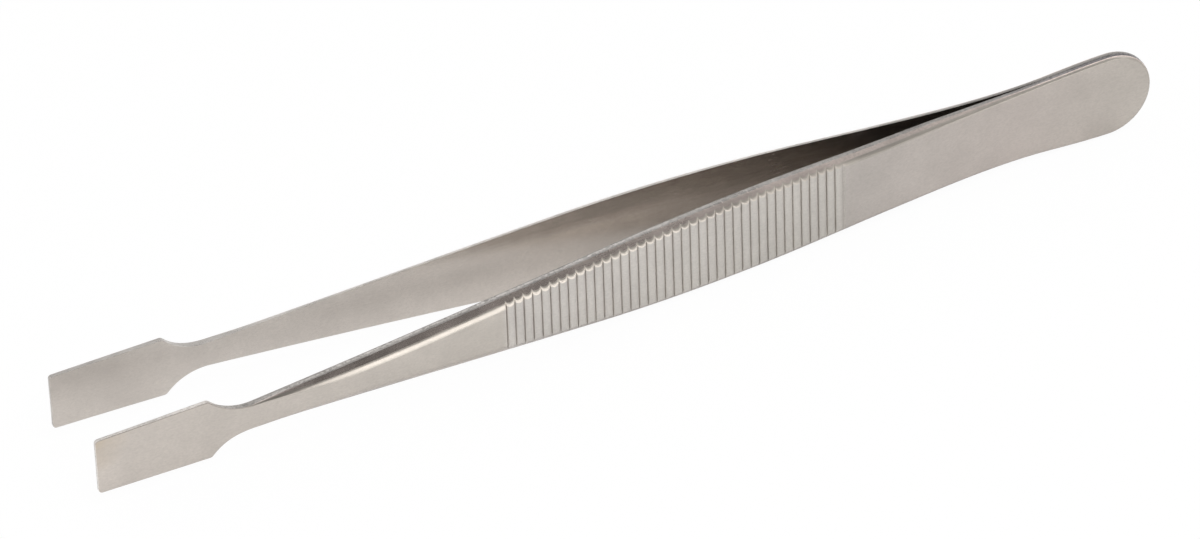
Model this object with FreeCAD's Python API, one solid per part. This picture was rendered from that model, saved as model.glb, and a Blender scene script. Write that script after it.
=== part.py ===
import FreeCAD, Part
import math
import os

# Wafer tweezers: two spring steel blades, face to face at the welded tail and bowed apart towards
# their flat paddles. Sizes are millimetres. X runs from the paddle tips to the tail, Y is the way
# the blades open and Z is the width of the blades, which lie on their long edges on Z = 0.
# A station is a distance along X from the paddle tips, unless its name says from the tail.

overall_length = 120.0

# Paddle: the thin flat end of each blade, square to its length
paddle_length = 12.1
paddle_tip_width = 6.5
paddle_root_width = 6.94
paddle_tip_thickness = 0.40
paddle_root_thickness = 0.50
paddle_corner_radius = 0.35
shoulder_radius = 0.25

# Width of the blade behind the paddle
neck_station = 16.4
neck_width = 2.86
neck_arc_radius = 5.6
taper_end_station = 55.0
taper_end_width = 8.78
belly_station = 74.0
belly_width = 10.1
flank_width = 9.20
waist_from_tail = 15.0
waist_width = 8.80
tail_width = 9.80

# Bow of the inner faces, as the gap between the two blades
tip_gap = 10.84
tip_slope = -0.006
middle_station = 48.0
middle_gap = 7.68
closing_from_tail = 36.0
closing_gap = 2.82
heel_from_tail = 24.0
heel_gap = 0.62
weld_length = 12.0

# Thickness of one blade behind the paddle
neck_thickness = 0.74
shank_station = 26.0
shank_thickness = 1.10
grip_thickness = 1.20
grip_rear_thickness = 1.06
tail_thickness = 0.66

# Grip: ribs with sloping shoulders between sharp grooves across the outer face. The last groove is
# only a shallow step, where the rearmost rib meets the plain face.
first_groove_station = 44.66
groove_count = 40
groove_pitch = 1.00
groove_depth = 0.36
last_groove_depth = 0.15
groove_half_width = 0.13
rib_shoulder_drop = 0.10
rib_flat_half_width = 0.15

# Ground bevel along both outer edges, in two facets that meet at a knee. The land is what is left
# of the square edge next to the inner face, the drop is how far the bevel reaches down the outer
# face, and the knee lies at these shares of the bevel's run and drop.
bevel_start_station = 15.4
bevel_start_clearance = 0.06
knee_run_share = 0.80
knee_drop_share = 0.665
bevel_overrun = 0.30
front_bevel = {"station": 20.0, "land": 0.45, "drop": 0.50}
shank_bevel = {"station": 24.5, "land": 0.40, "drop": 1.08}
full_bevel = {"station": 33.0, "land": 0.33, "drop": 1.38}
grip_front_bevel = {"land": 0.32, "drop": 1.30}
grip_middle_bevel = {"land": 0.32, "drop": 1.04}
grip_rear_bevel = {"land": 0.30, "drop": 0.92}
heel_bevel = {"land": 0.28, "drop": 0.58}
tail_bevel = {"land": 0.34, "drop": 0.28}

# Room that the cutting shapes reach past the blade, and how near two points are to be one
tool_margin = 1.0
same_point = 1e-6


# Stations that follow from the sizes above
last_groove_station = first_groove_station + (groove_count - 1) * groove_pitch
grip_start = first_groove_station - groove_half_width
grip_end = last_groove_station + groove_half_width
grip_middle = (grip_start + grip_end) / 2
closing_station = overall_length - closing_from_tail
heel_station = overall_length - heel_from_tail
weld_station = overall_length - weld_length
waist_station = overall_length - waist_from_tail
flank_station = (belly_station + waist_station) / 2
tail_radius = tail_width / 2
tail_centre = overall_length - tail_radius
half_height = max(belly_width, tail_width) / 2


def with_slopes(points, first_slope, last_slope):
    """Give each (station, value) of a smooth line its slope: the two ends as told, the others
    weighed from the chords on either side."""
    knots = [(points[0][0], points[0][1], first_slope)]
    for before, here, after in zip(points, points[1:], points[2:]):
        run_in = here[0] - before[0]
        run_out = after[0] - here[0]
        chord_in = (here[1] - before[1]) / run_in
        chord_out = (after[1] - here[1]) / run_out
        slope = (chord_in * run_out + chord_out * run_in) / (run_in + run_out)
        knots.append((here[0], here[1], slope))
    knots.append((points[-1][0], points[-1][1], last_slope))
    return knots


def span_poles(left, right):
    """Heights of the four poles of the cubic between two knots, spaced evenly along X."""
    third = (right[0] - left[0]) / 3
    return [left[1], left[1] + left[2] * third, right[1] - right[2] * third, right[1]]


def value_at(knots, station):
    """Height of a smooth line at a station; straight on past its ends."""
    if station <= knots[0][0]:
        return knots[0][1] + knots[0][2] * (station - knots[0][0])
    for left, right in zip(knots, knots[1:]):
        if station <= right[0]:
            a, b, c, d = span_poles(left, right)
            u = (station - left[0]) / (right[0] - left[0])
            v = 1 - u
            return a * v**3 + 3 * b * u * v**2 + 3 * c * u**2 * v + d * u**3
    return knots[-1][1] + knots[-1][2] * (station - knots[-1][0])


def spans(knots, place):
    """Edges of a smooth line, one cubic a span. place turns station and height into a point."""
    edges = []
    for left, right in zip(knots, knots[1:]):
        poles = []
        for i, height in enumerate(span_poles(left, right)):
            poles.append(place(left[0] + (right[0] - left[0]) * i / 3, height))
        curve = Part.BezierCurve()
        curve.setPoles(poles)
        edges.append(curve.toShape())
    return edges


def in_plan(station, offset):
    """Point seen along Z: offset from the plane between the blades."""
    return FreeCAD.Vector(station, offset, 0)


def in_side_view(station, height):
    """Point seen along Y: height from the blade's centre line."""
    return FreeCAD.Vector(station, 0, height)


def line(start, end):
    return Part.makeLine(start, end)


# Inner face: half the gap between the blades, down to nothing at the weld
inner_face = with_slopes(
    [
        (0.0, tip_gap / 2),
        (middle_station, middle_gap / 2),
        (closing_station, closing_gap / 2),
        (heel_station, heel_gap / 2),
        (weld_station, 0.0),
    ],
    tip_slope,
    0.0,
)


def outer_point(station, thickness):
    return (station, value_at(inner_face, station) + thickness)


# Outer face: the inner face plus the thickness at each station, parallel to it along the paddle
outer_paddle_slope = (
    value_at(inner_face, paddle_length) + paddle_root_thickness - tip_gap / 2 - paddle_tip_thickness
) / paddle_length
outer_face = with_slopes(
    [
        outer_point(paddle_length, paddle_root_thickness),
        outer_point(neck_station, neck_thickness),
        outer_point(shank_station, shank_thickness),
        outer_point(grip_start, grip_thickness),
        outer_point(grip_middle, grip_thickness),
        outer_point(grip_end, grip_rear_thickness),
        outer_point(weld_station, tail_thickness),
    ],
    outer_paddle_slope,
    0.0,
)

# Edge of the blade behind its straight taper: out to the belly at the grip, then past the flank
# and the waist to the tail
taper_slope = (taper_end_width - neck_width) / 2 / (taper_end_station - neck_station)
belly_edge = with_slopes(
    [(taper_end_station, taper_end_width / 2), (belly_station, belly_width / 2)], taper_slope, 0.0
)
rear_edge = with_slopes(
    [
        (belly_station, belly_width / 2),
        (flank_station, flank_width / 2),
        (waist_station, waist_width / 2),
        (tail_centre, tail_radius),
    ],
    0.0,
    0.0,
)


def half_width_at(station):
    """Half the blade's width, anywhere behind the neck."""
    if station <= taper_end_station:
        return neck_width / 2 + taper_slope * (station - neck_station)
    return value_at(belly_edge + rear_edge[1:], station)


def neck_arc():
    """Start, middle and end of the hollow arc from the paddle's shoulder into the taper."""
    shoulder = in_side_view(paddle_length, paddle_root_width / 2)
    along = in_side_view(1.0, taper_slope).normalize()
    away = in_side_view(-along.z, along.x)
    neck = in_side_view(neck_station, neck_width / 2)
    # The centre is one radius off the taper's line and one radius from the shoulder
    offset = neck + away * neck_arc_radius - shoulder
    half_b = offset.dot(along)
    travel = -half_b + math.sqrt(half_b**2 - offset.dot(offset) + neck_arc_radius**2)
    end = neck + along * travel
    centre = end + away * neck_arc_radius
    middle = centre + ((shoulder - centre) + (end - centre)).normalize() * neck_arc_radius
    return shoulder, middle, end


def mirrored_points(points):
    return [FreeCAD.Vector(p.x, p.y, -p.z) for p in points]


def upper_outline():
    """Edges of the blade's side view from the paddle's tip to the round tail, above the centre."""
    tip = in_side_view(0, paddle_tip_width / 2)
    shoulder, middle, neck_end = neck_arc()
    taper_end = in_side_view(taper_end_station, taper_end_width / 2)
    edges = [line(tip, shoulder), Part.Arc(shoulder, middle, neck_end).toShape()]
    edges.append(line(neck_end, taper_end))
    edges += spans(belly_edge, in_side_view) + spans(rear_edge, in_side_view)
    return edges


def edges_across(solid, points):
    """Edges that run along Y through the given side view points."""
    found = []
    for edge in solid.Edges:
        ends = [v.Point for v in edge.Vertexes]
        for point in points:
            if all(math.hypot(p.x - point.x, p.z - point.z) < same_point for p in ends):
                found.append(edge)
    return found


def outline_solid():
    """The blade's outline, as thick as the whole opening, with its four paddle corners rounded."""
    upper = upper_outline()
    lower = [edge.mirror(in_side_view(0, 0), FreeCAD.Vector(0, 0, 1)) for edge in upper]
    top = in_side_view(tail_centre, tail_radius)
    end = in_side_view(overall_length, 0)
    bottom = in_side_view(tail_centre, -tail_radius)
    round_end = Part.Arc(top, end, bottom).toShape()
    tip = in_side_view(0, paddle_tip_width / 2)
    tip_edge = line(tip, mirrored_points([tip])[0])
    wire = Part.Wire(Part.__sortEdges__(upper + [round_end] + lower + [tip_edge]))
    depth = tip_gap / 2 + grip_thickness + 2 * tool_margin
    solid = Part.Face(wire).extrude(FreeCAD.Vector(0, depth, 0))
    solid.translate(FreeCAD.Vector(0, -tool_margin, 0))
    shoulder = in_side_view(paddle_length, paddle_root_width / 2)
    solid = solid.makeFillet(paddle_corner_radius, edges_across(solid, [tip] + mirrored_points([tip])))
    shoulders = [shoulder] + mirrored_points([shoulder])
    return solid.makeFillet(shoulder_radius, edges_across(solid, shoulders))


def face_point(station, depth):
    """Point in plan, at a depth below the outer face, square to it."""
    step = groove_half_width
    rise = value_at(outer_face, station + step) - value_at(outer_face, station - step)
    outward = in_plan(-rise, 2 * step).normalize()
    return in_plan(station, value_at(outer_face, station)) - outward * depth


def grip_edges():
    """The grip in plan: a sharp groove at each pitch, the last one shallow, and between every two
    a rib, which falls away from a narrow flat crest."""
    edges = []
    for i in range(groove_count):
        station = first_groove_station + i * groove_pitch
        is_first = i == 0
        is_last = i == groove_count - 1
        bottom = face_point(station, last_groove_depth if is_last else groove_depth)
        before = face_point(station - groove_half_width, 0 if is_first else rib_shoulder_drop)
        after = face_point(station + groove_half_width, 0 if is_last else rib_shoulder_drop)
        edges += [line(before, bottom), line(bottom, after)]
        if not is_last:
            rib = station + groove_pitch / 2
            crest_start = face_point(rib - rib_flat_half_width, 0)
            crest_end = face_point(rib + rib_flat_half_width, 0)
            next_side = face_point(station + groove_pitch - groove_half_width, rib_shoulder_drop)
            edges += [line(after, crest_start), line(crest_start, crest_end), line(crest_end, next_side)]
    return edges


def plan_solid():
    """The blade seen from above: bowed inner face, thick grip with its ribs, thin paddle."""
    front = -tool_margin
    rear = overall_length + tool_margin
    front_inner = in_plan(front, value_at(inner_face, front))
    front_outer = in_plan(front, value_at(outer_face, front))
    paddle_root = in_plan(paddle_length, value_at(outer_face, paddle_length))
    weld_inner = in_plan(weld_station, 0)
    weld_outer = in_plan(weld_station, tail_thickness)
    grip_knot = [knot[0] for knot in outer_face].index(grip_start)
    edges = [line(front_inner, in_plan(0, tip_gap / 2))]
    edges += spans(inner_face, in_plan)
    edges.append(line(weld_inner, in_plan(rear, 0)))
    edges.append(line(in_plan(rear, 0), in_plan(rear, tail_thickness)))
    edges.append(line(in_plan(rear, tail_thickness), weld_outer))
    edges += spans(outer_face[grip_knot + 2:], in_plan)
    edges += grip_edges()
    edges += spans(outer_face[:grip_knot + 1], in_plan)
    edges.append(line(paddle_root, front_outer))
    edges.append(line(front_outer, front_inner))
    height = 2 * (half_height + tool_margin)
    solid = Part.Face(Part.Wire(Part.__sortEdges__(edges))).extrude(FreeCAD.Vector(0, 0, height))
    solid.translate(FreeCAD.Vector(0, 0, -height / 2))
    return solid


def bevel_section(station, land, drop, clearance=0.0):
    """What the bevel takes off at a station: a flat from the land to the knee and a steeper one
    from there to its line on the outer face, closed well outside the blade."""
    inner = value_at(inner_face, station)
    outer = value_at(outer_face, station) + clearance
    edge = half_width_at(station) + clearance
    run = outer - inner - land
    land_line = FreeCAD.Vector(station, inner + land, edge)
    face_line = FreeCAD.Vector(station, outer, edge - drop)
    knee = land_line + FreeCAD.Vector(0, run * knee_run_share, -drop * knee_drop_share)
    # Both flats carry on a little past the blade's own surfaces
    first = land_line + (land_line - knee).normalize() * bevel_overrun
    last = face_line + (face_line - knee).normalize() * bevel_overrun
    far_y = outer + tool_margin
    far_z = edge + tool_margin
    corners = [
        first,
        knee,
        last,
        FreeCAD.Vector(station, far_y, last.z),
        FreeCAD.Vector(station, far_y, far_z),
        FreeCAD.Vector(station, first.y, far_z),
        first,
    ]
    return Part.Wire([line(a, b) for a, b in zip(corners, corners[1:])])


def bevel_sections():
    """Sections of the bevel from the neck, where it starts from nothing, to the tail."""
    start = bevel_section(
        bevel_start_station,
        neck_thickness - bevel_start_clearance,
        bevel_start_clearance,
        2 * bevel_start_clearance,
    )
    stations = [
        (front_bevel["station"], front_bevel),
        (shank_bevel["station"], shank_bevel),
        (full_bevel["station"], full_bevel),
        (grip_start, grip_front_bevel),
        (grip_middle, grip_middle_bevel),
        (grip_end, grip_rear_bevel),
        (heel_station, heel_bevel),
        (weld_station, tail_bevel),
        (tail_centre, tail_bevel),
    ]
    return [start] + [bevel_section(x, b["land"], b["drop"]) for x, b in stations]


def bevel_tools():
    """The cut along each outer edge and the cut that carries it round the tail."""
    sections = bevel_sections()
    upper = Part.makeLoft(sections, True, False)
    lower = upper.mirror(FreeCAD.Vector(0, 0, 0), FreeCAD.Vector(0, 0, 1))
    tail = Part.Face(sections[-1])
    round_tail = tail.revolve(in_side_view(tail_centre, 0), FreeCAD.Vector(0, 1, 0), 180)
    return [upper, lower, round_tail]


def rear_arm():
    """The blade on the +Y side, standing on Z = 0 with the length centred on X = 0."""
    solid = outline_solid().common(plan_solid())
    for tool in bevel_tools():
        solid = solid.cut(tool)
    solid = solid.Solids[0]
    solid.translate(FreeCAD.Vector(-overall_length / 2, 0, half_height))
    return solid


def front_arm(rear):
    """The same blade mirrored across the plane between the two."""
    return rear.mirror(FreeCAD.Vector(0, 0, 0), FreeCAD.Vector(0, 1, 0))


def main():
    os.makedirs("parts", exist_ok=True)
    rear = rear_arm()
    parts = {"rear_arm": rear, "front_arm": front_arm(rear)}
    for name, shape in parts.items():
        box = shape.optimalBoundingBox(True, False)
        print(name, shape.isValid(), len(shape.Solids), "solid,", round(shape.Volume, 3), "mm3")
        print("  x", round(box.XMin, 3), round(box.XMax, 3), "y", round(box.YMin, 3),
              round(box.YMax, 3), "z", round(box.ZMin, 3), round(box.ZMax, 3))
        shape.exportStep("parts/" + name + ".step")


main()
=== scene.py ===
import math

import bpy
from mathutils import Matrix, Vector


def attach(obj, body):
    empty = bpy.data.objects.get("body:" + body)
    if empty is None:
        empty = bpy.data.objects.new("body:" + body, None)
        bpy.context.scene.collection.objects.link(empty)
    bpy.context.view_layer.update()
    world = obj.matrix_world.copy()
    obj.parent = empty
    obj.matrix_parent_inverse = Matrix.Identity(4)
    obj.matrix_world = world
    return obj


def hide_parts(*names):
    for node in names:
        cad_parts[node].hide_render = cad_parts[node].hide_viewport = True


bl_info = {
    "name": "Wafer Tweezers",
    "version": (1, 0, 0),
    "blender": (4, 5, 0),
    "location": "View3D > Sidebar > Tweezers",
    "description": "Satin steel wafer tweezers with flat paddles and a ribbed grip, on a studio floor",
    "category": "Add Mesh",
}

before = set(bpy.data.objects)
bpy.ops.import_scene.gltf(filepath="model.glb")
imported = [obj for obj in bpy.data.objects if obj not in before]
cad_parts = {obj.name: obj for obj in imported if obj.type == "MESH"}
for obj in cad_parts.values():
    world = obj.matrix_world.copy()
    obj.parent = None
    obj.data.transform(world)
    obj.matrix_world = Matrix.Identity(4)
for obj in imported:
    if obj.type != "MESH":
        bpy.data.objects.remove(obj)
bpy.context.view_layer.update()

# The blades are drawn in millimetres, by stations measured from the paddle tips
MM = 0.001


def smooth_line(points, first_slope, last_slope):
    """Knots (station, value, slope) of a line through the points, with weighed slopes."""
    knots = [(*points[0], first_slope)]
    for before, here, after in zip(points, points[1:], points[2:]):
        run_in = here[0] - before[0]
        run_out = after[0] - here[0]
        chord_in = (here[1] - before[1]) / run_in
        chord_out = (after[1] - here[1]) / run_out
        knots.append((*here, (chord_in * run_out + chord_out * run_in) / (run_in + run_out)))
    knots.append((*points[-1], last_slope))
    return knots


def value_at(knots, station):
    """Height of a smooth line at a station; straight on past its ends."""
    if station <= knots[0][0]:
        return knots[0][1] + knots[0][2] * (station - knots[0][0])
    for left, right in zip(knots, knots[1:]):
        if station <= right[0]:
            third = (right[0] - left[0]) / 3
            u = (station - left[0]) / (right[0] - left[0])
            v = 1 - u
            b = left[1] + left[2] * third
            c = right[1] - right[2] * third
            return left[1] * v**3 + 3 * b * u * v**2 + 3 * c * u**2 * v + right[1] * u**3
    return knots[-1][1] + knots[-1][2] * (station - knots[-1][0])


def bend(a, b, c, steps):
    """Points of the curve that rounds corner b between a and c."""
    points = []
    for i in range(steps + 1):
        t = i / steps
        points.append(tuple(
            p * (1 - t) ** 2 + 2 * q * t * (1 - t) + r * t**2 for p, q, r in zip(a, b, c)
        ))
    return points


LENGTH = 120.0
PADDLE_LENGTH = 12.1
PADDLE_TIP_HALF = 3.25
PADDLE_ROOT_HALF = 3.47
PADDLE_TIP_THICKNESS = 0.40
PADDLE_ROOT_THICKNESS = 0.50
CORNER_RADIUS = 0.35
SHOULDER_ROUND = 0.22
NECK_STATION = 16.4
NECK_HALF = 1.43
NECK_RADIUS = 5.6
TAPER_END = 55.0
TAPER_END_HALF = 4.39
TAPER_SLOPE = (TAPER_END_HALF - NECK_HALF) / (TAPER_END - NECK_STATION)
TAIL_RADIUS = 4.90
TAIL_CENTRE = LENGTH - TAIL_RADIUS
WELD_STATION = 108.0
HALF_HEIGHT = 5.05

GROOVE_START = 44.66
GROOVE_COUNT = 40
PITCH = 1.0
LAST_GROOVE = GROOVE_START + (GROOVE_COUNT - 1) * PITCH
LAST_DEPTH_SHARE = 0.40
GROOVE_HALF_WIDTH = 0.13
GRIP_START = GROOVE_START - GROOVE_HALF_WIDTH
GRIP_END = LAST_GROOVE + GROOVE_HALF_WIDTH

# Where the bevel's two facets meet, as shares of its run and of its drop
KNEE_RUN = 0.76
KNEE_DROP = 0.632

# Stations and half widths behind the taper
BELLY = (74.0, 5.05)
FLANK = (89.5, 4.60)
WAIST = (105.0, 4.40)
edge_line = smooth_line([(TAPER_END, TAPER_END_HALF), BELLY], TAPER_SLOPE, 0.0)
edge_line += smooth_line([BELLY, FLANK, WAIST, (TAIL_CENTRE, TAIL_RADIUS)], 0.0, 0.0)[1:]

TIP_OFFSET = 5.42
inner_line = smooth_line(
    [(0.0, TIP_OFFSET), (48.0, 3.84), (84.0, 1.41), (96.0, 0.42), (103.0, 0.10),
     (WELD_STATION, 0.0)],
    -0.006, 0.0,
)


def outer_knot(station, thickness):
    return (station, value_at(inner_line, station) + thickness)


outer_slope = (
    value_at(inner_line, PADDLE_LENGTH) + PADDLE_ROOT_THICKNESS - TIP_OFFSET - PADDLE_TIP_THICKNESS
) / PADDLE_LENGTH
outer_line = smooth_line(
    [
        outer_knot(PADDLE_LENGTH, PADDLE_ROOT_THICKNESS),
        outer_knot(NECK_STATION, 0.74),
        outer_knot(26.0, 1.10),
        outer_knot(GRIP_START, 1.20),
        outer_knot((GRIP_START + GRIP_END) / 2, 1.20),
        outer_knot(GRIP_END, 1.06),
        outer_knot(WELD_STATION, 0.66),
    ],
    outer_slope, 0.0,
)

# The square land next to the inner face and how far the bevel reaches down the outer face
BEVEL_START = 15.4
PADDLE_EDGE = 0.015
land_line = smooth_line(
    [(BEVEL_START, 0.68), (20.0, 0.45), (24.5, 0.40), (33.0, 0.33), (GRIP_START, 0.32),
     (64.1, 0.32), (GRIP_END, 0.30), (96.0, 0.28), (WELD_STATION, 0.34), (LENGTH, 0.34)],
    0.0, 0.0,
)
drop_line = smooth_line(
    [(BEVEL_START, PADDLE_EDGE), (20.0, 0.48), (24.5, 1.02), (33.0, 1.27), (GRIP_START, 1.21),
     (64.1, 1.02), (GRIP_END, 0.92), (96.0, 0.58), (WELD_STATION, 0.28), (LENGTH, 0.28)],
    0.0, 0.0,
)


def neck_arc(steps):
    """Points of the hollow arc from the paddle's shoulder into the taper."""
    shoulder = Vector((PADDLE_LENGTH, PADDLE_ROOT_HALF))
    along = Vector((1.0, TAPER_SLOPE)).normalized()
    away = Vector((-along.y, along.x))
    offset = Vector((NECK_STATION, NECK_HALF)) + away * NECK_RADIUS - shoulder
    half_b = offset.dot(along)
    travel = -half_b + math.sqrt(half_b**2 - offset.dot(offset) + NECK_RADIUS**2)
    end = Vector((NECK_STATION, NECK_HALF)) + along * travel
    centre = end + away * NECK_RADIUS
    first = math.atan2(shoulder.y - centre.y, shoulder.x - centre.x)
    last = math.atan2(end.y - centre.y, end.x - centre.x)
    points = []
    for i in range(steps + 1):
        turn = first + (last - first) * i / steps
        points.append((centre.x + NECK_RADIUS * math.cos(turn),
                       centre.y + NECK_RADIUS * math.sin(turn)))
    return points


def spread(start, end, step):
    """Stations from start to end, about a step apart, without the last."""
    count = max(1, round((end - start) / step))
    return [start + (end - start) * i / count for i in range(count)]


# How finely the blade is drawn: steps round the paddle's corner, the shoulder, the neck and the
# tail and from a rib's middle to its side, and millimetres between sections elsewhere
CORNER_STEPS = 8
SHOULDER_STEPS = 6
NECK_STEPS = 40
TAIL_STEPS = 48
RIB_STEPS = 8
PLAIN_STEP = 0.8
TAPER_STEP = 0.7


def outline():
    """The blade's upper edge as (station, half width, turn): turn is how far the edge has gone
    round the tail, 0 along the blade and a quarter circle at its very end."""
    rows = []
    for i in range(CORNER_STEPS + 1):
        turn = math.pi / 2 * i / CORNER_STEPS
        rows.append((CORNER_RADIUS * (1 - math.cos(turn)),
                     PADDLE_TIP_HALF - CORNER_RADIUS * (1 - math.sin(turn)), 0.0))
    widening = (PADDLE_ROOT_HALF - PADDLE_TIP_HALF) / PADDLE_LENGTH
    for station in spread(CORNER_RADIUS, PADDLE_LENGTH - SHOULDER_ROUND, PLAIN_STEP)[1:]:
        rows.append((station, PADDLE_TIP_HALF + widening * station, 0.0))
    near = [p for p in neck_arc(NECK_STEPS) if p[0] - PADDLE_LENGTH > SHOULDER_ROUND]
    start = (PADDLE_LENGTH - SHOULDER_ROUND, PADDLE_ROOT_HALF - widening * SHOULDER_ROUND)
    shoulder = (PADDLE_LENGTH, PADDLE_ROOT_HALF)
    for station, half in bend(start, shoulder, near[0], SHOULDER_STEPS):
        rows.append((station, half, 0.0))
    rows += [(station, half, 0.0) for station, half in near[1:]]
    stations = spread(near[-1][0], GRIP_START, TAPER_STEP)[1:]
    for i in range(GROOVE_COUNT):
        groove = GROOVE_START + i * PITCH
        if i == 0:
            stations += [groove - GROOVE_HALF_WIDTH, groove - GROOVE_HALF_WIDTH / 2]
        stations.append(groove)
        if i < GROOVE_COUNT - 1:
            for k in range(1 - RIB_STEPS, RIB_STEPS):
                reach = 1 + math.sin(math.pi / 2 * k / RIB_STEPS)
                stations.append(groove + PITCH / 2 * reach)
        else:
            stations.append(groove + GROOVE_HALF_WIDTH / 2)
    stations += spread(GRIP_END, TAIL_CENTRE, PLAIN_STEP)
    for station in stations:
        if station < TAPER_END:
            half = NECK_HALF + TAPER_SLOPE * (station - NECK_STATION)
        else:
            half = value_at(edge_line, station)
        rows.append((station, half, 0.0))
    for i in range(TAIL_STEPS + 1):
        rows.append((TAIL_CENTRE, TAIL_RADIUS, math.pi / 2 * i / TAIL_STEPS))
    return rows


def rib_dip(station, depth, fullness):
    """How far the ribbed face lies below the plain one at a station. The last groove is only a
    shallow step."""
    last_depth = LAST_DEPTH_SHARE * depth
    if station <= GROOVE_START:
        return depth * max(0.0, 1 - (GROOVE_START - station) / GROOVE_HALF_WIDTH)
    if station >= LAST_GROOVE:
        return last_depth * max(0.0, 1 - (station - LAST_GROOVE) / GROOVE_HALF_WIDTH)
    off = abs((station - GROOVE_START) % PITCH - PITCH / 2) / (PITCH / 2)
    dip = depth * (1 - (1 - min(off, 1.0) ** fullness) ** (1 / fullness))
    return min(dip, last_depth) if station > LAST_GROOVE - PITCH / 2 else dip


# How much further the land's rounding reaches along the land, and down the bevel, than its size
LAND_SPREAD = 1.3
LAND_FADE = 4.0

# What each stretch of a section is finished as
INNER, LAND, BEVEL, LIP, OUTER = range(5)

# Rounding of a section's four corners: steps of the bend, the most that the bend and the row that
# holds it may take of the stretch before, and how many of its points keep that stretch's finish
ROUNDINGS = [(3, 0.45, 0.48, 0), (6, 0.80, 0.84, 4), (3, 0.45, 0.48, 0), (3, 0.45, 0.48, 2)]
# The most that they may take of the stretch after, and how far out the row that holds a bend lies
BEND_MOST_AFTER = 0.55
HOLD_MOST_AFTER = 0.6
HOLD_REACH = 1.5

# The most of its depth that the face leaves to the lip
LIP_MOST = 0.8


def section(station, half, look):
    """One side of the blade's section, from its inner face over the edge to its outer face, as
    (offset, inset, finish of the stretch that follows)."""
    inner = value_at(inner_line, station)
    outer = value_at(outer_line, station)
    thickness = outer - inner
    if station < BEVEL_START:
        land = thickness - PADDLE_EDGE
        drop = PADDLE_EDGE
    else:
        land = min(value_at(land_line, station), thickness - PADDLE_EDGE)
        drop = value_at(drop_line, station)
    face = outer
    share = 0.0
    if GRIP_START < station < GRIP_END:
        dip = rib_dip(station, look.groove_depth / MM, look.rib_fullness)
        face -= dip
        share = dip / (look.groove_depth / MM)
    run = thickness - land
    slope = KNEE_DROP * drop / (KNEE_RUN * run)
    reach = face - inner - land
    knee = slope * reach
    lip_share = 1.0 - look.lip_narrowing * share
    if GRIP_START < station < GRIP_END:
        lip_share *= look.rib_lip_share
    lip_run = min((1 - KNEE_RUN) * run * lip_share, reach * LIP_MOST)
    lip_drop = (drop - slope * run) * lip_share
    edge_soft = look.edge_softness / MM
    land_soft = look.land_softness / MM
    lip_soft = look.lip_softness / MM
    # Offset, inset and how far each corner is rounded before and after it
    corners = [
        (inner, 0.0, edge_soft, edge_soft),
        (inner + land, 0.0, LAND_SPREAD * land_soft, LAND_FADE * land_soft),
        (face - lip_run, knee - slope * lip_run, lip_soft, lip_soft),
        (face, knee + lip_drop, lip_soft, lip_soft),
    ]
    middle = half + 1.0
    chain = [(inner, middle)] + [c[:2] for c in corners] + [(face, middle)]
    points = []
    for i, (y, z, soft_in, soft_out) in enumerate(corners):
        steps, bend_most, hold_most, kept = ROUNDINGS[i]
        here = Vector((y, z))
        before = Vector(chain[i]) - here
        after = Vector(chain[i + 2]) - here
        way_in = before.normalized()
        way_out = after.normalized()
        start = here + way_in * min(soft_in, before.length * bend_most)
        end = here + way_out * min(soft_out, after.length * BEND_MOST_AFTER)
        hold_in = here + way_in * min(HOLD_REACH * soft_in, before.length * hold_most)
        hold_out = here + way_out * min(HOLD_REACH * soft_out, after.length * HOLD_MOST_AFTER)
        # The finishes are numbered in the order of the stretches, so stretch i has finish i
        points.append((*hold_in, i))
        for k, point in enumerate(bend(start, here, end, steps)):
            points.append((*point, i if k < kept else i + 1))
        points.append((*hold_out, i + 1))
    return points


SAME_TURN = 1e-9
SHARP_TURN = math.radians(38)


def blade_mesh(name, side, look):
    """Closed mesh of one blade; side is 1 for the rear arm and -1 for the front arm."""
    vertices = []
    faces = []
    finishes = []
    rings = []
    for station, half, turn in outline():
        points = section(station, half, look)
        upper = []
        lower = []
        at_end = turn >= math.pi / 2 - SAME_TURN
        for y, inset, _ in points:
            reach = half - inset
            x = station + reach * math.sin(turn)
            z = reach * math.cos(turn)
            upper.append(len(vertices))
            vertices.append(((x - LENGTH / 2) * MM, side * y * MM, (HALF_HEIGHT + z) * MM))
            if at_end:
                lower.append(upper[-1])
            else:
                lower.append(len(vertices))
                vertices.append(((x - LENGTH / 2) * MM, side * y * MM, (HALF_HEIGHT - z) * MM))
        rings.append((upper, lower, [p[2] for p in points]))

    def add(face, finish):
        kept = [v for i, v in enumerate(face) if v != face[i - 1]]
        if len(kept) > 2:
            faces.append(kept if side > 0 else kept[::-1])
            finishes.append(finish)

    for (up_a, low_a, marks), (up_b, low_b, _) in zip(rings, rings[1:]):
        for j in range(len(up_a) - 1):
            add([up_a[j], up_a[j + 1], up_b[j + 1], up_b[j]], marks[j])
            # The lower edge's lip takes the face's finish, without the lip's brighter colour, which
            # partly paints the lip's highlight
            low_mark = OUTER if marks[j] == LIP else marks[j]
            add([low_a[j + 1], low_a[j], low_b[j], low_b[j + 1]], low_mark)
        add([up_a[-1], low_a[-1], low_b[-1], up_b[-1]], OUTER)
        add([low_a[0], up_a[0], up_b[0], low_b[0]], INNER)
    up, low, _ = rings[0]
    for j in range(len(up) - 1):
        add([up[j + 1], up[j], low[j], low[j + 1]], LAND)

    mesh = bpy.data.meshes.new(name)
    mesh.from_pydata(vertices, [], faces)
    mesh.polygons.foreach_set("material_index", finishes)
    mesh.polygons.foreach_set("use_smooth", [True] * len(faces))
    mesh.update()
    mesh.set_sharp_from_angle(angle=SHARP_TURN)
    if mesh.validate():
        raise RuntimeError(name + " has faces that are no good")
    return mesh


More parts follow.
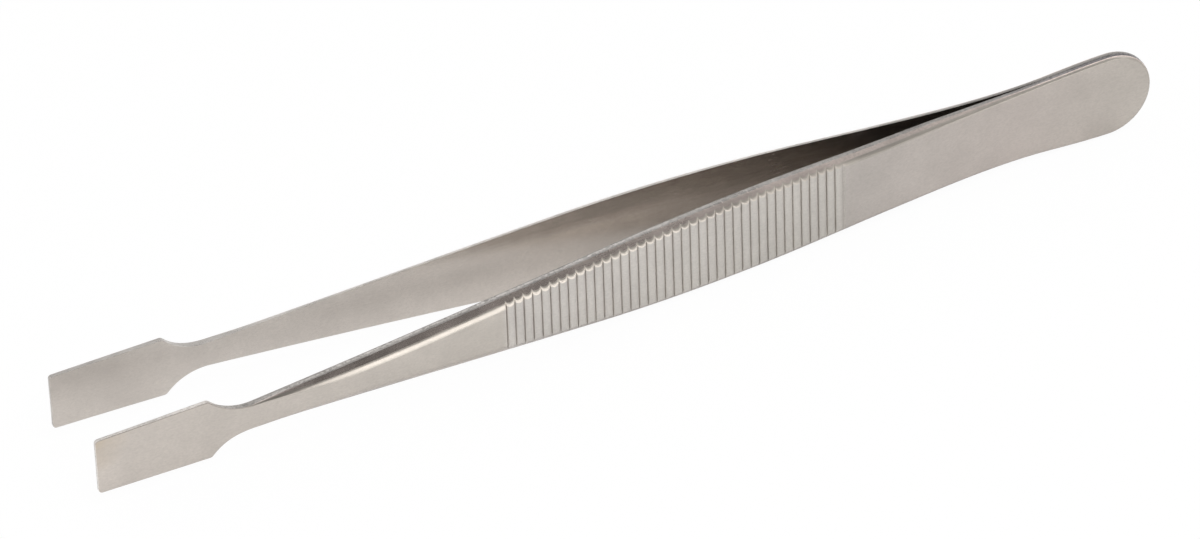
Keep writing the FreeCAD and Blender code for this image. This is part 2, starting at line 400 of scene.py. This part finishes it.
class Nodes:
    """Short hand for a material's node tree."""

    def __init__(self, tree):
        self.tree = tree
        tree.nodes.clear()

    def add(self, kind, **settings):
        node = self.tree.nodes.new(kind)
        for key, value in settings.items():
            setattr(node, key, value)
        return node

    def link(self, out, into):
        self.tree.links.new(out, into)

    def math(self, operation, a, b=None, clamp=False):
        node = self.add("ShaderNodeMath", operation=operation, use_clamp=clamp)
        for socket, value in zip(node.inputs, (a, b)):
            if value is None:
                continue
            if hasattr(value, "is_output"):
                self.link(value, socket)
            else:
                socket.default_value = value
        return node.outputs[0]

    def noise(self, place, scale, detail, stretch=(1.0, 1.0, 1.0), roughness=0.5):
        mapping = self.add("ShaderNodeMapping")
        mapping.inputs["Scale"].default_value = stretch
        self.link(place, mapping.inputs["Vector"])
        noise = self.add("ShaderNodeTexNoise")
        noise.inputs["Scale"].default_value = scale
        noise.inputs["Detail"].default_value = detail
        noise.inputs["Roughness"].default_value = roughness
        self.link(mapping.outputs[0], noise.inputs["Vector"])
        return noise.outputs["Fac"]

    def blend(self, share, a, b, mode="MIX"):
        node = self.add("ShaderNodeMix", data_type="RGBA", blend_type=mode)
        for socket, value in zip((node.inputs[0], node.inputs[6], node.inputs[7]), (share, a, b)):
            if hasattr(value, "is_output"):
                self.link(value, socket)
            elif isinstance(value, (int, float)):
                socket.default_value = value
            else:
                socket.default_value = (*value, 1.0)
        return node.outputs[2]

    def along(self, place, stops):
        """Tint that changes along the blade, from stops of station and grey level or colour."""
        parts = self.add("ShaderNodeSeparateXYZ")
        self.link(place, parts.inputs[0])
        ramp = self.add("ShaderNodeValToRGB")
        half = LENGTH / 2 * MM
        self.link(self.spread(parts.outputs["X"], -half, half, 0.0, 1.0), ramp.inputs[0])
        elements = ramp.color_ramp.elements
        while len(elements) < len(stops):
            elements.new(0.5)
        for element, (station, value) in zip(elements, stops):
            element.position = station / LENGTH
            level = (value,) * 3 if isinstance(value, (int, float)) else value
            element.color = (*level, 1.0)
        return ramp.outputs["Color"]

    def spread(self, value, low, high, to_low, to_high):
        node = self.add("ShaderNodeMapRange")
        self.link(value, node.inputs[0])
        for i, number in enumerate((low, high, to_low, to_high)):
            node.inputs[i + 1].default_value = number
        return node.outputs[0]


# How each finish's tint and roughness change along the blade: station, tint and added
# roughness. The tints are partly the finish's own tone and partly painted light and shade, set
# to how bright each stretch looks in this view.
LAND_ALONG = [
    (0, 1.30, 0.10), (12, 1.30, 0.10), (16, 0.76, 0.10), (29, 0.88, 0.10), (36, 0.90, 0.10),
    (46, 0.86, 0.06), (64, 0.90, 0.0), (74, 0.86, 0.0), (81, 0.78, 0.0), (87, 0.72, 0.0),
    (99, 0.74, 0.0), (107, (0.60, 0.60, 0.62), 0.0), (113, (0.42, 0.42, 0.45), 0.0),
]
# The far arm's land is a lighter copy of the front arm's land: its tints are painted light
REAR_LAND_PAINTED_LIGHT_ALONG = [
    (0, 0.98, 0.0), (23, 1.0, 0.0), (32, 1.15, 0.0), (46, 1.24, 0.0), (84, 1.20, 0.0),
    (93, 1.0, 0.0), (101, 0.66, 0.0), (120, 0.62, 0.0),
]
BEVEL_ALONG = [
    (22, 0.62, 0.06), (29, 0.47, 0.0), (36, 0.68, 0.0), (46, 0.68, 0.03), (56, 0.74, 0.05),
    (64, 0.80, 0.06), (74, 0.74, 0.16), (81, 0.66, 0.24), (87, 0.66, 0.28), (93, 0.60, 0.28),
    (100, 0.70, 0.28), (107, 0.98, 0.28), (114, 0.98, 0.28),
]
LIP_ALONG = [
    (22, 0.52, 0.0), (29, 0.80, 0.0), (43, 0.80, 0.0), (47, 0.92, 0.0), (56, 0.82, 0.0),
    (64, 0.80, 0.03), (74, 0.70, 0.07), (83, 0.62, 0.12), (86, 0.44, 0.15), (93, 0.48, 0.15),
    (100, 0.58, 0.15), (107, 0.62, 0.15), (114, 0.56, 0.15),
]
INNER_ALONG = [
    (0, 0.82, 0.0), (30, 0.80, 0.0), (44, 0.92, 0.0), (57, 1.05, 0.0), (72, 0.90, 0.0),
    (84, 0.85, 0.0),
]
FACE_ALONG = [
    (0, (0.832, 0.80, 0.796), 0.0), (14, (0.765, 0.738, 0.732), 0.0),
    (44, (0.755, 0.733, 0.722), 0.0), (45, (0.82, 0.815, 0.83), 0.0),
    (83, (0.765, 0.762, 0.766), 0.0), (84, (0.650, 0.630, 0.636), 0.0),
    (104, (0.685, 0.650, 0.652), 0.0), (120, (0.648, 0.628, 0.618), 0.0),
]
# Bands of painted light and shade along the blade: stations and tints, and the heights at which
# the band is full and gone. One lies low on the outer faces: painted light towards the tail, where
# the floor that they mirror lies in the blade's shadow, and a little darker around stations 30 to
# 44. One along the top of the far arm's inner face is a painted reflection of the near arm's darker
# inner face.
FACE_PAINTED_LIGHT_BAND = (
    [(0, 1.0), (20, 1.0), (30, 0.92), (44, 0.92), (45, 1.0), (80, 1.0), (90, 1.14), (120, 1.12)],
    0.0, 7.0,
)
INNER_PAINTED_REFLECTION_BAND = (
    [(0, 1.0), (38, 1.0), (44, 0.94), (47, 0.86), (53, 0.70), (58, 0.60), (62, 0.69), (67, 0.85),
     (72, 0.98), (84, 1.0)],
    8.15, 6.95,
)

# Sizes of the cloudy patches, the specks and the brush marks, as scales of their noise
CLOUD_SCALE = 260.0
SPECKLE_SCALE = 5600.0
BRUSHING_SCALE = 3600.0
# How much rougher the land and the lip are than the bevel
NARROW_EDGE_ROUGHER = 0.08


def steel(name, colour, roughness, stops, steel_look, mottle=0.05, grain=0.3, speckled=0.2,
          pitted=0.0, stain=False, band=None):
    """Satin steel: cloudy colour, fine grain along the blade and small marks from finishing, times
    tints along the blade that are partly its own tone and partly painted light and shade, and a
    band by height of painted light and shade. A small value of speckled makes the marks hard."""
    material = bpy.data.materials.new(name)
    material.use_nodes = True
    n = Nodes(material.node_tree)
    place = n.add("ShaderNodeTexCoord").outputs["Object"]
    cloud = n.noise(place, CLOUD_SCALE, 3.0, (1.0, 1.0, 1.0), 0.55)
    speckle = n.noise(place, SPECKLE_SCALE, 2.0, (0.55, 1.0, 1.0), 0.6)
    brushing = n.noise(place, BRUSHING_SCALE, 3.0, (0.09, 1.0, 1.0), 0.65)
    dark = tuple(c * (1 - mottle) for c in colour)
    light = tuple(min(1.0, c * (1 + mottle)) for c in colour)
    mixed = n.blend(n.spread(cloud, 0.35, 0.65, 0.0, 1.0), dark, light)
    shade = tuple(c * 0.6 for c in colour)
    mixed = n.blend(n.spread(speckle, 0.5 - speckled, 0.5 + speckled, 0.0, grain), mixed, shade)
    mixed = n.blend(n.spread(brushing, 0.35, 0.7, 0.0, grain), mixed, light)
    uneven = n.math("ADD", n.spread(brushing, 0.3, 0.7, -0.04, 0.04), roughness)
    uneven = n.math("ADD", uneven, n.spread(speckle, 0.5, 0.5 + speckled, 0.0, pitted))
    # Tints along the blade, partly the finish's own tone and partly painted light and shade
    mixed = n.blend(1.0, mixed, n.along(place, [(s, tint) for s, tint, _ in stops]), "MULTIPLY")
    uneven = n.math("ADD", uneven, n.along(place, [(s, rougher) for s, _, rougher in stops]))
    # Painted light and shade: a band of tints that fades out with height
    if band:
        tints, full, gone = band
        parts = n.add("ShaderNodeSeparateXYZ")
        n.link(place, parts.inputs[0])
        share = n.spread(parts.outputs["Z"], full * MM, gone * MM, 1.0, 0.0)
        mixed = n.blend(share, mixed, n.blend(1.0, mixed, n.along(place, tints), "MULTIPLY"))
    if stain:
        # Faint straw tint left by heat at one corner of the paddle
        corner = n.add("ShaderNodeVectorMath", operation="DISTANCE")
        n.link(place, corner.inputs[0])
        corner.inputs[1].default_value = steel_look.stain_place
        fade = n.spread(corner.outputs["Value"], steel_look.stain_radius, 0.0, 0.0, 1.0)
        patchy = n.math("MULTIPLY", fade, n.spread(cloud, 0.3, 0.7, 0.35, 1.0))
        mixed = n.blend(n.math("MULTIPLY", patchy, steel_look.stain_strength), mixed,
                        tuple(steel_look.stain_colour))
    shader = n.add("ShaderNodeBsdfPrincipled")
    shader.inputs["Metallic"].default_value = 1.0
    n.link(mixed, shader.inputs["Base Color"])
    uneven = n.math("ADD", uneven, n.spread(cloud, 0.3, 0.7, -0.03, 0.03))
    n.link(uneven, shader.inputs["Roughness"])
    bump = n.add("ShaderNodeBump")
    bump.inputs["Strength"].default_value = steel_look.grain_strength
    bump.inputs["Distance"].default_value = steel_look.grain_depth
    height = n.math("ADD", brushing, n.math("MULTIPLY", speckle, 0.7))
    n.link(height, bump.inputs["Height"])
    n.link(bump.outputs[0], shader.inputs["Normal"])
    out = n.add("ShaderNodeOutputMaterial")
    n.link(shader.outputs[0], out.inputs[0])
    return material


class TweezersShape(bpy.types.PropertyGroup):
    groove_depth: bpy.props.FloatProperty(
        name="Groove depth", description="Depth of the grooves between the ribs",
        default=0.00029, min=0.0, max=0.0005, precision=5, unit="LENGTH")
    rib_fullness: bpy.props.FloatProperty(
        name="Rib fullness", description="2 makes round ribs, more makes flatter crests",
        default=1.9, min=1.5, max=8.0)
    edge_softness: bpy.props.FloatProperty(
        name="Edge softness", description="How far the blade's edges are worn round",
        default=0.00006, min=0.0, max=0.0002, precision=5, unit="LENGTH")
    land_softness: bpy.props.FloatProperty(
        name="Land softness", description="How softly the land turns into the ground bevel",
        default=0.00020, min=0.0, max=0.0005, precision=5, unit="LENGTH")
    lip_softness: bpy.props.FloatProperty(
        name="Lip softness", description="Rounding of the bright lip along the ground bevel",
        default=0.00014, min=0.0, max=0.0002, precision=5, unit="LENGTH")
    rib_lip_share: bpy.props.FloatProperty(
        name="Rib lip", description="Lip's width on the ribs, as a share of its width in front",
        default=0.75, min=0.1, max=1.0, subtype="FACTOR")
    lip_narrowing: bpy.props.FloatProperty(
        name="Lip narrowing", description="How much the lip narrows where it rises into a groove",
        default=0.3, min=0.0, max=1.0, subtype="FACTOR")


class TweezersSteel(bpy.types.PropertyGroup):
    face_colour: bpy.props.FloatVectorProperty(
        name="Face colour", description="Satin outer faces and ribs",
        default=(0.78, 0.75, 0.70), subtype="COLOR", min=0.0, max=1.0)
    inner_colour: bpy.props.FloatVectorProperty(
        name="Inner colour", description="Satin inner faces",
        default=(0.80, 0.745, 0.696), subtype="COLOR", min=0.0, max=1.0)
    bevel_colour: bpy.props.FloatVectorProperty(
        name="Bevel colour", description="Ground bevel along the edges",
        default=(0.86, 0.757, 0.705), subtype="COLOR", min=0.0, max=1.0)
    # The lip's colour is brighter than the face's and partly paints its bright highlight
    lip_colour_and_highlight: bpy.props.FloatVectorProperty(
        name="Lip colour", description="Bright lip between bevel and face",
        default=(0.90, 0.835, 0.76), subtype="COLOR", min=0.0, max=1.0)
    land_colour: bpy.props.FloatVectorProperty(
        name="Land colour", description="Narrow square edge next to the inner face",
        default=(0.62, 0.594, 0.572), subtype="COLOR", min=0.0, max=1.0)
    face_roughness: bpy.props.FloatProperty(
        name="Face roughness", description="How satin the faces are",
        default=0.36, min=0.0, max=1.0, subtype="FACTOR")
    inner_roughness: bpy.props.FloatProperty(
        name="Inner roughness", description="How satin the inner faces are",
        default=0.22, min=0.0, max=1.0, subtype="FACTOR")
    bevel_roughness: bpy.props.FloatProperty(
        name="Bevel roughness", description="How satin the ground bevel is",
        default=0.22, min=0.0, max=1.0, subtype="FACTOR")
    grain_strength: bpy.props.FloatProperty(
        name="Grain strength", description="How strongly the fine grain shows",
        default=0.35, min=0.0, max=1.0, subtype="FACTOR")
    grain_depth: bpy.props.FloatProperty(
        name="Grain depth", description="Depth of the fine grain",
        default=0.000004, min=0.0, max=0.0001, precision=6, unit="LENGTH")
    stain_colour: bpy.props.FloatVectorProperty(
        name="Stain colour", description="Straw tint at one paddle corner",
        default=(0.53, 0.43, 0.30), subtype="COLOR", min=0.0, max=1.0)
    stain_strength: bpy.props.FloatProperty(
        name="Stain strength", description="How much of the straw tint shows",
        default=0.8, min=0.0, max=1.0, subtype="FACTOR")
    stain_place: bpy.props.FloatVectorProperty(
        name="Stain place", description="Middle of the straw tint",
        default=(-0.060, -0.0056, 0.0080), precision=4, subtype="XYZ")
    stain_radius: bpy.props.FloatProperty(
        name="Stain radius", description="Reach of the straw tint",
        default=0.0038, min=0.0005, max=0.02, precision=4, unit="LENGTH")


class TweezersStudio(bpy.types.PropertyGroup):
    floor_colour: bpy.props.FloatVectorProperty(
        name="Floor colour", description="Plain pale floor",
        default=(0.86, 0.86, 0.86), subtype="COLOR", min=0.0, max=1.0)
    front_level: bpy.props.FloatProperty(
        name="Front level", description="Brightness of the room behind the camera",
        default=0.27, min=0.0, max=4.0)
    back_level: bpy.props.FloatProperty(
        name="Back level", description="Brightness of the room behind the tweezers",
        default=0.80, min=0.0, max=4.0)
    strip_level: bpy.props.FloatProperty(
        name="Strip level", description="Brightness of the low strip in front of the tweezers",
        default=1.9, min=0.0, max=6.0)
    lamp_power: bpy.props.FloatProperty(
        name="Lamp power", description="Power of each soft lamp",
        default=1.0, min=0.0, max=100.0, unit="POWER")
    shadow_share: bpy.props.FloatProperty(
        name="Shadow share", description="How much of the floor's shadow the camera sees",
        default=0.04, min=0.0, max=1.0, subtype="FACTOR")


class TWEEZERS_OT_arms(bpy.types.Operator):
    """Make the front and rear arm with their ribs, ground bevels and satin steel"""

    bl_idname = "tweezers.arms"
    bl_label = "Tweezer Arms"

    def execute(self, context):
        shape = context.scene.tweezers_shape
        look = context.scene.tweezers_steel
        narrow_roughness = look.bevel_roughness + NARROW_EDGE_ROUGHER
        for node, side in (("rear_arm", 1), ("front_arm", -1)):
            mesh = blade_mesh(node + "_satin", side, shape)
            is_front = side < 0
            # Each arm's land takes its own tints, painted light and shade on one and the same land
            land_tints_and_painted_light = LAND_ALONG if is_front else REAR_LAND_PAINTED_LIGHT_ALONG
            finishes = [
                steel(node + "_inner_steel", look.inner_colour, look.inner_roughness,
                      INNER_ALONG, look, band=None if is_front else INNER_PAINTED_REFLECTION_BAND),
                steel(node + "_land_steel", look.land_colour, narrow_roughness,
                      land_tints_and_painted_light, look, mottle=0.15, grain=0.8 if is_front else 0.2,
                      speckled=0.1, pitted=0.3 if is_front else 0.1),
                steel(node + "_bevel_steel", look.bevel_colour, look.bevel_roughness,
                      BEVEL_ALONG, look, mottle=0.12, grain=0.35, speckled=0.12,
                      pitted=0.08),
                steel(node + "_lip_steel", look.lip_colour_and_highlight, narrow_roughness,
                      LIP_ALONG, look, grain=0.15),
                steel(node + "_face_steel", look.face_colour, look.face_roughness,
                      FACE_ALONG, look, stain=is_front, band=FACE_PAINTED_LIGHT_BAND),
            ]
            for material in finishes:
                mesh.materials.append(material)
            arm = bpy.data.objects.new(node + "_satin", mesh)
            context.scene.collection.objects.link(arm)
            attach(arm, "root")
            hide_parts(node)
        return {"FINISHED"}


FLOOR_REACH = 6.0

# The way from the object to the dark middle of the room, behind the camera
DARK_WAY = Vector((0.36, -0.69, 0.63)).normalized()

# Each lamp's place, size and share of the lamp power
LAMPS = {
    "lamp_left": ((-0.60, -0.10, 0.50), 0.5, 1.0),
    "lamp_right": ((0.60, -0.15, 0.45), 0.5, 1.0),
    "lamp_top": ((0.0, 0.05, 0.90), 0.6, 1.0),
    "lamp_front": ((0.0, -0.45, 0.75), 0.6, 2.8),
}
LAMP_TARGET = Vector((0.0, 0.0, 0.005))


class TWEEZERS_OT_stage(bpy.types.Operator):
    """Lay the pale floor, hang the soft lamps and light the room around them"""

    bl_idname = "tweezers.stage"
    bl_label = "Studio Stage"

    def execute(self, context):
        studio = context.scene.tweezers_studio
        self.make_floor(context, studio)
        self.make_room(context, studio)
        self.make_lamps(context, studio)
        context.scene.view_settings.view_transform = "Standard"
        return {"FINISHED"}

    def make_floor(self, context, studio):
        mesh = bpy.data.meshes.new("studio_floor")
        ways = [(-1, -1), (1, -1), (1, 1), (-1, 1)]
        corners = [(x * FLOOR_REACH, y * FLOOR_REACH, 0) for x, y in ways]
        mesh.from_pydata(corners, [], [(0, 1, 2, 3)])
        floor = bpy.data.objects.new("studio_floor", mesh)
        context.scene.collection.objects.link(floor)
        material = bpy.data.materials.new("pale_floor")
        material.use_nodes = True
        n = Nodes(material.node_tree)
        matt = n.add("ShaderNodeBsdfDiffuse")
        matt.inputs["Color"].default_value = (*studio.floor_colour, 1.0)
        white = n.add("ShaderNodeEmission")
        white.inputs["Strength"].default_value = 1.0
        seen = n.add("ShaderNodeLightPath").outputs["Is Camera Ray"]
        share = n.math("MULTIPLY", seen, 1 - studio.shadow_share)
        mix = n.add("ShaderNodeMixShader")
        n.link(share, mix.inputs[0])
        n.link(matt.outputs[0], mix.inputs[1])
        n.link(white.outputs[0], mix.inputs[2])
        out = n.add("ShaderNodeOutputMaterial")
        n.link(mix.outputs[0], out.inputs[0])
        mesh.materials.append(material)

    def make_room(self, context, studio):
        """A room that is bright behind and above the object and dark behind the camera."""
        world = bpy.data.worlds.new("studio_room")
        context.scene.world = world
        world.use_nodes = True
        n = Nodes(world.node_tree)
        way = n.add("ShaderNodeTexCoord").outputs["Generated"]
        toward = n.add("ShaderNodeVectorMath", operation="DOT_PRODUCT")
        n.link(way, toward.inputs[0])
        toward.inputs[1].default_value = DARK_WAY
        level = n.spread(toward.outputs["Value"], 0.15, 0.96, studio.back_level, studio.front_level)
        # A low bright strip in front, seen in the lip between bevel and face
        parts = n.add("ShaderNodeSeparateXYZ")
        n.link(way, parts.inputs[0])
        forward = n.spread(parts.outputs["Y"], -0.5, -0.8, 0.0, 1.0)
        low = n.spread(parts.outputs["Z"], 0.34, 0.16, 0.0, 1.0)
        glow = n.math("MULTIPLY", forward, low)
        level = n.math("ADD", n.math("MULTIPLY", level, n.math("SUBTRACT", 1.0, glow)),
                       n.math("MULTIPLY", glow, studio.strip_level))
        light = n.add("ShaderNodeBackground")
        light.inputs["Color"].default_value = (1.0, 0.985, 0.965, 1.0)
        n.link(level, light.inputs["Strength"])
        white = n.add("ShaderNodeBackground")
        mix = n.add("ShaderNodeMixShader")
        n.link(n.add("ShaderNodeLightPath").outputs["Is Camera Ray"], mix.inputs[0])
        n.link(light.outputs[0], mix.inputs[1])
        n.link(white.outputs[0], mix.inputs[2])
        white.inputs["Color"].default_value = (1.0, 1.0, 1.0, 1.0)
        out = n.add("ShaderNodeOutputWorld")
        n.link(mix.outputs[0], out.inputs[0])

    def make_lamps(self, context, studio):
        for name, (place, size, share) in LAMPS.items():
            lamp = bpy.data.lights.new(name, "AREA")
            lamp.shape = "SQUARE"
            lamp.size = size
            lamp.energy = studio.lamp_power * share
            holder = bpy.data.objects.new(name, lamp)
            holder.location = place
            aim = LAMP_TARGET - Vector(place)
            holder.rotation_euler = aim.to_track_quat("-Z", "Y").to_euler()
            # The front lamp isn't mirrored in the steel, where the front of the room is dark
            holder.visible_glossy = name != "lamp_front"
            context.scene.collection.objects.link(holder)


# The camera's heading, its look down and its tilt in degrees, the point that it looks at and its
# distance from it in millimetres, and its lens and sensor
CAMERA_TURN = 24.9616
CAMERA_RISE = 38.5434
CAMERA_ROLL = -2.0991
CAMERA_TARGET = Vector((-2.638, 0.0, 3.9435))
CAMERA_DISTANCE = 852.12
LENS = 255.61
SENSOR_WIDTH = 36.0


class TWEEZERS_OT_camera(bpy.types.Operator):
    """Set the long-lens camera that looks down on the tweezers from the front left"""

    bl_idname = "tweezers.camera"
    bl_label = "Product Camera"

    def execute(self, context):
        turn = math.radians(CAMERA_TURN)
        rise = math.radians(CAMERA_RISE)
        roll = math.radians(CAMERA_ROLL)
        forward = Vector((math.sin(turn) * math.cos(rise), math.cos(turn) * math.cos(rise),
                          -math.sin(rise)))
        level = Vector((math.cos(turn), -math.sin(turn), 0.0))
        upward = level.cross(forward)
        right = level * math.cos(roll) + upward * math.sin(roll)
        up = upward * math.cos(roll) - level * math.sin(roll)
        data = bpy.data.cameras.new("product_camera")
        data.sensor_width = SENSOR_WIDTH
        data.lens = LENS
        data.clip_start = 0.05
        data.clip_end = 50.0
        camera = bpy.data.objects.new("product_camera", data)
        context.scene.collection.objects.link(camera)
        spin = Matrix((right, up, -forward)).transposed().to_4x4()
        place = CAMERA_TARGET * MM - forward * CAMERA_DISTANCE * MM
        camera.matrix_world = Matrix.Translation(place) @ spin
        context.scene.camera = camera
        return {"FINISHED"}


class VIEW3D_PT_tweezers(bpy.types.Panel):
    bl_label = "Wafer Tweezers"
    bl_idname = "VIEW3D_PT_tweezers"
    bl_space_type = "VIEW_3D"
    bl_region_type = "UI"
    bl_category = "Tweezers"

    def draw(self, context):
        scene = context.scene
        groups = (
            (TWEEZERS_OT_arms, scene.tweezers_shape),
            (None, scene.tweezers_steel),
            (TWEEZERS_OT_stage, scene.tweezers_studio),
            (TWEEZERS_OT_camera, None),
        )
        for operator, group in groups:
            box = self.layout.box()
            if operator:
                box.operator(operator.bl_idname)
            for name in group.__annotations__ if group else ():
                box.prop(group, name)


CLASSES = (
    TweezersShape,
    TweezersSteel,
    TweezersStudio,
    TWEEZERS_OT_arms,
    TWEEZERS_OT_stage,
    TWEEZERS_OT_camera,
    VIEW3D_PT_tweezers,
)


def register():
    for cls in CLASSES:
        bpy.utils.register_class(cls)
    bpy.types.Scene.tweezers_shape = bpy.props.PointerProperty(type=TweezersShape)
    bpy.types.Scene.tweezers_steel = bpy.props.PointerProperty(type=TweezersSteel)
    bpy.types.Scene.tweezers_studio = bpy.props.PointerProperty(type=TweezersStudio)


def unregister():
    del bpy.types.Scene.tweezers_studio
    del bpy.types.Scene.tweezers_steel
    del bpy.types.Scene.tweezers_shape
    for cls in reversed(CLASSES):
        bpy.utils.unregister_class(cls)


def main():
    register()
    bpy.ops.tweezers.camera()
    bpy.ops.tweezers.stage()
    bpy.ops.tweezers.arms()


if __name__ == "__main__":
    main()
